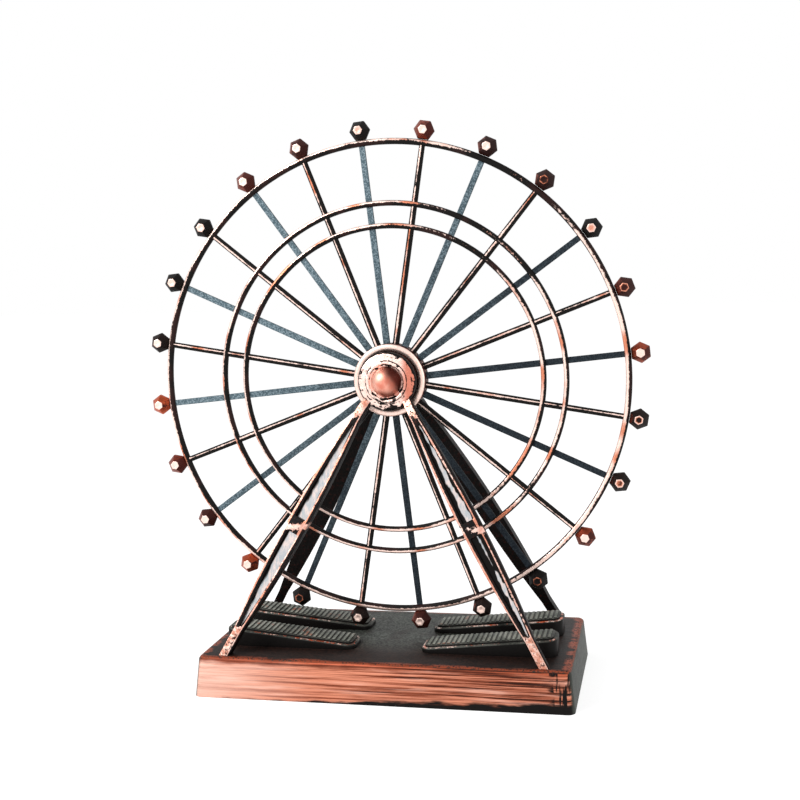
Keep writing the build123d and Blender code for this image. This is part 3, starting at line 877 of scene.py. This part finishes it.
def web_painted_reflection():
    """The sunken webs show a painted reflection of the light: a bright, pale metal with dark streaks along
    the leg.
    """
    material, shader, place, _ = new_finish("web_painted_reflection_and_shade")
    x, _, z = split_vector(place)
    streaks = cloudy(place, 0.4, stretch=(1, 1, 0.25), detail=2.0)
    fine = cloudy(place, 1.2, stretch=(1, 1, 0.3), detail=3.0)
    # Painted reflection: the web's pale, bright colour stands in for the light mirrored in the flat recess.
    painted_highlight = blend_colours(step_between(fine, 0.35, 0.7), colour(196, 202, 206), colour(244, 226, 220))
    across = mesh_value(shader, "across")
    off_middle = absolute(subtract(across, 0.08))
    right_leg = step_between(x, -2 * mm, 2 * mm)
    below_rib = step_between(z, cross_rib_height, cross_rib_height - 6 * mm)
    streaks = multiply_add(multiply(right_leg, below_rib), 0.06, streaks)
    spread = multiply_add(right_leg, 0.5, 0.35)
    unevenness = multiply_add(right_leg, 0.65, 0.35)
    streaks = multiply_add(subtract(streaks, 0.5), unevenness, 0.5)
    dark = step_between(multiply_add(off_middle, spread, streaks), 0.62, 0.7)
    # Painted shade: the web stays black along its left edge, in the shadow of the left ridge.
    dark = larger(dark, step_between(across, -0.34, -0.44))
    feed(shader, "Base Color", blend_colours(dark, painted_highlight, patina_black))
    feed(shader, "Metallic", subtract(1.0, dark))
    shader.inputs["Roughness"].default_value = 0.22
    shader.inputs["Specular IOR Level"].default_value = 0.12
    roughen(shader, fine, 0.03 * mm)
    return material


def boss_finish():
    """The boss came out of the mould lumpy: pale copper on the lumps, dip in the hollows."""
    material, shader, place, normal = new_finish("boss_rubbed_copper")
    x, y, z = split_vector(from_axle(place))
    around = multiply(calculate("ARCTAN2", x, z), 3 * mm)
    polar = {0: off_axle(x, z), 1: around, 2: y}
    polar = add_node(place.id_data, "ShaderNodeCombineXYZ", polar).outputs[0]
    arcs = cloudy(polar, 1.5, stretch=(1, 0.35, 1), detail=3.0, roughness=0.6)
    lumps = cloudy(place, 0.9, detail=4.0, roughness=0.62)
    lumps = multiply(calculate("ADD", lumps, arcs), 0.5)
    under_dome = step_between(absolute(x), 3.2 * mm, 1.6 * mm)
    under_dome = multiply(under_dome, step_between(z, -3.0 * mm, -4.2 * mm))
    patch = cloudy(place, 0.3, detail=1.0)
    to_right = step_between(x, 2.0 * mm, 5.0 * mm)
    proud = multiply_add(facing_away(y, normal), 0.5, lumps)
    proud = multiply_add(under_dome, -0.09, proud)
    mask = step_between(proud, 0.9, 0.94)
    warm = blend_colours(to_right, copper_white, copper_red)
    pale = blend_colours(step_between(patch, 0.4, 0.6), copper_white, colour(242, 210, 198))
    metal_colour = blend_colours(multiply(to_right, 0.8), pale, warm)
    show_metal(shader, mask, patina_black, metal_colour, 0.38)
    roughen(shader, lumps, 0.4 * mm)
    return material


frame_materials = [frame_finish(), web_painted_reflection(), boss_finish()]


def leg_half_width(along):
    """Half the leg's width at a distance down its centre line: neck, lens, foot."""
    neck = leg_neck_width / 2
    if not lens_start < along < lens_end:
        return neck
    half_chord = (lens_end - lens_start) / 2
    rise = leg_widest / 2 - neck
    arc_radius = (half_chord**2 + rise**2) / (2 * rise)
    offset = along - lens_middle
    return neck + (arc_radius**2 - offset**2) ** 0.5 - (arc_radius - rise)


def make_leg(bm, side):
    """Outline, slab and web panels of one leg, lying flat before it is leant."""
    earlier = set(bm.verts)
    rib_half = leg_rib_width / 2
    lens_stations = 14
    stations = [leg_start, leg_start + leg_merge_length, lens_start]
    for index in range(1, lens_stations):
        stations.append(lens_start + (lens_middle - rib_half - lens_start) * index / lens_stations)
    stations += [lens_middle - rib_half, lens_middle + rib_half]
    for index in range(1, lens_stations):
        stations.append(lens_middle + rib_half + (lens_end - lens_middle - rib_half) * index / lens_stations)
    stations += [lens_end, leg_length + leg_thickness]
    # A strip of quads down the leg, extruded station by station.
    first = [bm.verts.new((across, -stations[0], 0)) for across in (-leg_half_width(0), leg_half_width(0))]
    edge = bm.edges.new(first)
    strip_verts = list(first)
    for along in stations[1:]:
        grown = bmesh.ops.extrude_edge_only(bm, edges=[edge])["geom"]
        new_verts = [g for g in grown if isinstance(g, bmesh.types.BMVert)]
        new_edges = [g for g in grown if isinstance(g, bmesh.types.BMEdge)]
        edge = next(e for e in new_edges if all(v in new_verts for v in e.verts))
        for v in new_verts:
            v.co = Vector((leg_half_width(along) * (1 if v.co.x > 0 else -1), -along, 0))
        strip_verts += new_verts
    strip = list({f for v in strip_verts for f in v.link_faces})
    bmesh.ops.recalc_face_normals(bm, faces=strip)
    if strip[0].normal.z < 0:
        bmesh.ops.reverse_faces(bm, faces=strip)
    pull_faces(bm, strip, (0, 0, leg_thickness))
    leg_verts = {v for v in bm.verts if v not in earlier}
    bmesh.ops.translate(bm, vec=(0, 0, -leg_thickness / 2), verts=list(leg_verts))
    # The neck's end dips under the face of the boss.
    for v in leg_verts:
        if v.co.z > 0 and v.co.y > -leg_start - hair:
            v.co.z -= leg_merge_drop
    leg_faces = {f for v in leg_verts for f in v.link_faces}
    bmesh.ops.recalc_face_normals(bm, faces=list(leg_faces))
    # Two web panels, above and below the cross rib, sunk between the ridges.
    for panel_from, panel_to in ((lens_start, lens_middle - rib_half), (lens_middle + rib_half, lens_end)):
        panel = [
            f
            for f in leg_faces
            if f.is_valid and f.normal.z > 0.9 and panel_from < -f.calc_center_median().y < panel_to
        ]
        bmesh.ops.inset_region(bm, faces=panel, thickness=leg_ridge_width, use_even_offset=True)
        for f in pull_faces(bm, panel, (0, 0, -leg_web_depth))[1]:
            f.material_index = 1
    bm.normal_update()
    turn = Matrix.Rotation(side * leg_angle, 4, "Z")
    aside = Matrix.Translation((side * leg_top_spread, 0, 0))
    own_verts = [v for v in bm.verts if v not in earlier]
    bmesh.ops.transform(bm, matrix=aside @ turn, verts=own_verts)


def make_frame(row_name, facing):
    frame_mesh = bmesh.new()
    for side in (-1, 1):
        make_leg(frame_mesh, side)
    across_layer = frame_mesh.verts.layers.float.new("across")
    ridge_edges = [
        e
        for e in frame_mesh.edges
        if len(e.link_faces) == 2
        and e.calc_face_angle() > radians(40)
        and max(v.co.z for v in e.verts) > leg_thickness / 2 - hair
    ]
    soften(frame_mesh, ridge_edges, leg_edge, 3)
    # Where a point lies across its leg, from -1 on the left to 1 on the right as seen from outside.
    for v in frame_mesh.verts:
        side = 1 if v.co.x > 0 else -1
        aside = side * v.co.x - leg_top_spread
        across = aside * cos(leg_angle) + v.co.y * sin(leg_angle)
        along = aside * sin(leg_angle) - v.co.y * cos(leg_angle)
        v[across_layer] = -facing * side * across / leg_half_width(along)
    # Lean the legs, with local Y up the slope and local Z away from the wheel.
    up_slope = Vector((0, -facing * sin(frame_lean), cos(frame_lean)))
    away = Vector((0, facing * cos(frame_lean), sin(frame_lean)))
    sideways = up_slope.cross(away)
    lean = Matrix((sideways, up_slope, away)).transposed().to_4x4()
    bmesh.ops.transform(
        frame_mesh,
        matrix=Matrix.Translation((0, facing * frame_middle, axle_height)) @ lean,
        verts=frame_mesh.verts,
    )
    bmesh.ops.bisect_plane(
        frame_mesh,
        geom=list(frame_mesh.verts) + list(frame_mesh.edges) + list(frame_mesh.faces),
        plane_co=(0, 0, plinth_high.z),
        plane_no=(0, 0, -1),
        clear_outer=True,
    )
    legs_name = f"{row_name}_legs_cast"
    place_piece(frame_mesh, legs_name, "stand", frame_materials, [f"{row_name}_frame"])
    # The boss is turned as a lathe profile, then its face is pushed into lumps.
    boss = bmesh.new()
    edge_steps = 5
    profile = [(boss_bore, boss_inner), (boss_radius, boss_inner)]
    for step in range(edge_steps + 1):
        turn = pi / 2 * step / edge_steps
        edge_y = boss_outer - boss_edge * (1 - sin(turn))
        profile.append((boss_radius - boss_edge * (1 - cos(turn)), edge_y))
    profile += rounded_rim(collar_radius, collar_width, boss_outer, collar_rise)
    for step in range(1, 6):
        profile.append((collar_radius - collar_width - step * boss_face_step, boss_outer))
    spin_profile(boss, [(radius, facing * y) for radius, y in profile], boss_steps)
    for v in boss.verts:
        on_face = v.co.y * facing > boss_inner + 0.5 * mm
        if on_face and hypot(v.co.x, v.co.z - axle_height) > boss_smooth_radius:
            lump = noise.noise(v.co / boss_lump) * boss_lump_rise
            v.co.y += facing * min(lump, boss_lump_limit)
    for f in boss.faces:
        f.material_index = 2
    place_piece(boss, f"{row_name}_boss_cast", "stand", frame_materials, [])


make_frame("front", -1)
make_frame("rear", 1)


# ================================================================ axle, end cap and washers
# The axle is a turned copper pin with a domed, polished head at the front. A matching cap is
# pressed on its tail, and a thin steel washer keeps each hub disc off its boss.
dome_radius = 3.6 * mm
dome_height = 2.7 * mm
dome_sphere = (dome_radius**2 + dome_height**2) / (2 * dome_height)
dome_half_angle = asin(dome_radius / dome_sphere)
axle_radius = 1.5 * mm
axle_tail = 1.4 * mm


def polished_finish():
    material, shader, place, normal = new_finish("polished_copper_painted_light")
    haze = cloudy(place, 0.5, detail=3.0)
    scuffs = cloudy(place, 1.5, stretch=(1, 0.2, 0.6), detail=5.0)
    base_colour = blend_colours(step_between(haze, 0.35, 0.7), colour(210, 124, 104), colour(232, 164, 144))
    nx, _, nz = split_vector(normal)
    # Painted highlight: the side that faces the light at the left turns pale.
    painted_highlight = multiply_add(haze, 0.4, multiply(nx, -1.0))
    painted_highlight = multiply(step_between(painted_highlight, 0.35, 0.9), 0.6)
    base_colour = blend_colours(painted_highlight, base_colour, copper_pale)
    # Painted dark reflection: the upper right of the head darkens to a deep red.
    painted_dark_reflection = multiply_add(nz, 0.55, nx)
    painted_dark_reflection = step_between(multiply_add(haze, 0.5, painted_dark_reflection), 0.25, 1.0)
    base_colour = blend_colours(multiply(painted_dark_reflection, 0.95), base_colour, colour(60, 14, 10))
    feed(shader, "Base Color", base_colour)
    shader.inputs["Metallic"].default_value = 1.0
    feed(shader, "Roughness", multiply_add(scuffs, 0.14, 0.38))
    roughen(shader, scuffs, 0.01 * mm)
    return material


def washer_finish():
    material, shader, place, _ = new_finish("washer_steel_finish")
    rings = cloudy(place, 2.5, detail=2.0)
    feed(shader, "Base Color", blend_colours(rings, colour(120, 120, 122), colour(176, 176, 178)))
    shader.inputs["Metallic"].default_value = 1.0
    feed(shader, "Roughness", multiply_add(rings, 0.2, 0.25))
    return material


def dome_points(face_y, facing):
    """The head's curve from its seat to its crown."""
    steps = 14
    points = []
    for step in range(steps + 1):
        turn = dome_half_angle * (1 - step / steps)
        drop = dome_sphere * (1 - cos(turn))
        points.append((dome_sphere * sin(turn), face_y + facing * (dome_height - drop)))
    return points


polished_copper_painted_light = polished_finish()
axle = bmesh.new()
axle_end = boss_outer + axle_tail
axle_profile = [(0, axle_end), (axle_radius, axle_end), (axle_radius, -boss_outer)]
spin_profile(axle, axle_profile + dome_points(-boss_outer, -1), turned_steps)
place_piece(axle, "axle_turned", "stand", [polished_copper_painted_light], ["axle"])

cap = bmesh.new()
cap_bore = axle_radius + seat_gap
cap_floor = axle_end + seat_gap
cap_profile = [(0, cap_floor), (cap_bore, cap_floor), (cap_bore, boss_outer)]
spin_profile(cap, cap_profile + dome_points(boss_outer, 1), turned_steps)
place_piece(cap, "axle_end_cap_turned", "stand", [polished_copper_painted_light], ["axle_end_cap"])

washer_material = washer_finish()
for row_name in ("front", "rear"):
    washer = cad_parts[f"{row_name}_washer"]
    washer.material_slots[0].material = washer_material


# ================================================================ studio
# A pale floor that runs on to the horizon, soft light from the upper left, a weaker fill from
# the right, and the camera where the photographer stood.
floor_size = 4.0
floor_glow_strength = 1.55
floor_glow_share = 0.5
sky_dimmed = 0.5
picture_size = 800
focal_pixels = 1267.98
sensor_width = 36
floor_mesh = bmesh.new()
bmesh.ops.create_grid(floor_mesh, x_segments=1, y_segments=1, size=floor_size / 2)
floor_data = bpy.data.meshes.new("floor")
floor_mesh.to_mesh(floor_data)
floor_mesh.free()
floor = bpy.data.objects.new("floor", floor_data)
bpy.context.scene.collection.objects.link(floor)
floor_material = bpy.data.materials.new("floor_white")
floor_material.use_nodes = True
floor_tree = floor_material.node_tree
floor_shader = floor_tree.nodes["Principled BSDF"]
floor_shader.inputs["Base Color"].default_value = colour(247, 247, 247)
floor_shader.inputs["Roughness"].default_value = 0.9
glow_inputs = {"Color": (1, 1, 1, 1), "Strength": floor_glow_strength}
floor_glow = add_node(floor_tree, "ShaderNodeEmission", glow_inputs)
floor_rays = add_node(floor_tree, "ShaderNodeLightPath", {}).outputs
seen_white = larger(floor_rays["Is Camera Ray"], floor_rays["Is Glossy Ray"])
seen_white = multiply(seen_white, floor_glow_share)
floor_inputs = {0: seen_white, 1: floor_shader.outputs[0], 2: floor_glow.outputs[0]}
floor_mix = add_node(floor_tree, "ShaderNodeMixShader", floor_inputs)
floor_tree.links.new(floor_mix.outputs[0], floor_tree.nodes["Material Output"].inputs["Surface"])
floor_data.materials.append(floor_material)

world = bpy.data.worlds.new("studio")
bpy.context.scene.world = world
world.use_nodes = True
sky = world.node_tree
sky_rays = add_node(sky, "ShaderNodeLightPath", {}).outputs
sky_seen = larger(sky_rays["Is Glossy Ray"], sky_rays["Is Transmission Ray"])
sky_seen = larger(sky_rays["Is Camera Ray"], sky_seen)
sky_strength = multiply_add(sky_seen, 1 - sky_dimmed, sky_dimmed)
sky.nodes["Background"].inputs["Color"].default_value = (1, 1, 1, 1)
sky.links.new(sky_strength, sky.nodes["Background"].inputs["Strength"])


def add_softbox(name, place, aim, size, power):
    light = bpy.data.lights.new(name, "AREA")
    light.shape = "DISK"
    light.size = size
    light.energy = power
    lamp = bpy.data.objects.new(name, light)
    lamp.location = place
    lamp.rotation_mode = "QUATERNION"
    lamp.rotation_quaternion = (Vector(aim) - Vector(place)).to_track_quat("-Z", "Y")
    bpy.context.scene.collection.objects.link(lamp)


lamp_aim = (0, 0, 0.06)
add_softbox("key_light", place=(-0.30, -0.30, 0.34), aim=lamp_aim, size=0.22, power=2.2)
add_softbox("fill_light", place=(0.40, -0.30, 0.20), aim=lamp_aim, size=0.5, power=0.6)

camera_data = bpy.data.cameras.new("photographer")
camera_data.sensor_width = sensor_width
camera_data.lens = focal_pixels / picture_size * sensor_width
camera_data.clip_start = 0.01
camera_data.clip_end = 20
camera = bpy.data.objects.new("photographer", camera_data)
bpy.context.scene.collection.objects.link(camera)
camera_place = Vector((64.30, -288.58, 100.03)) * mm
camera_yaw = 0.212713
camera_pitch = 0.113945
camera_roll = -0.0261
ahead = Vector(
    (-sin(camera_yaw) * cos(camera_pitch), cos(camera_yaw) * cos(camera_pitch), -sin(camera_pitch))
)
level_right = Vector((cos(camera_yaw), sin(camera_yaw), 0))
level_up = level_right.cross(ahead)
camera_right = cos(camera_roll) * level_right + sin(camera_roll) * level_up
camera_up = -sin(camera_roll) * level_right + cos(camera_roll) * level_up
camera_turn = Matrix((camera_right, camera_up, -ahead)).transposed().to_4x4()
camera.matrix_world = Matrix.Translation(camera_place) @ camera_turn
bpy.context.scene.camera = camera
bpy.context.scene.view_settings.view_transform = "Standard"
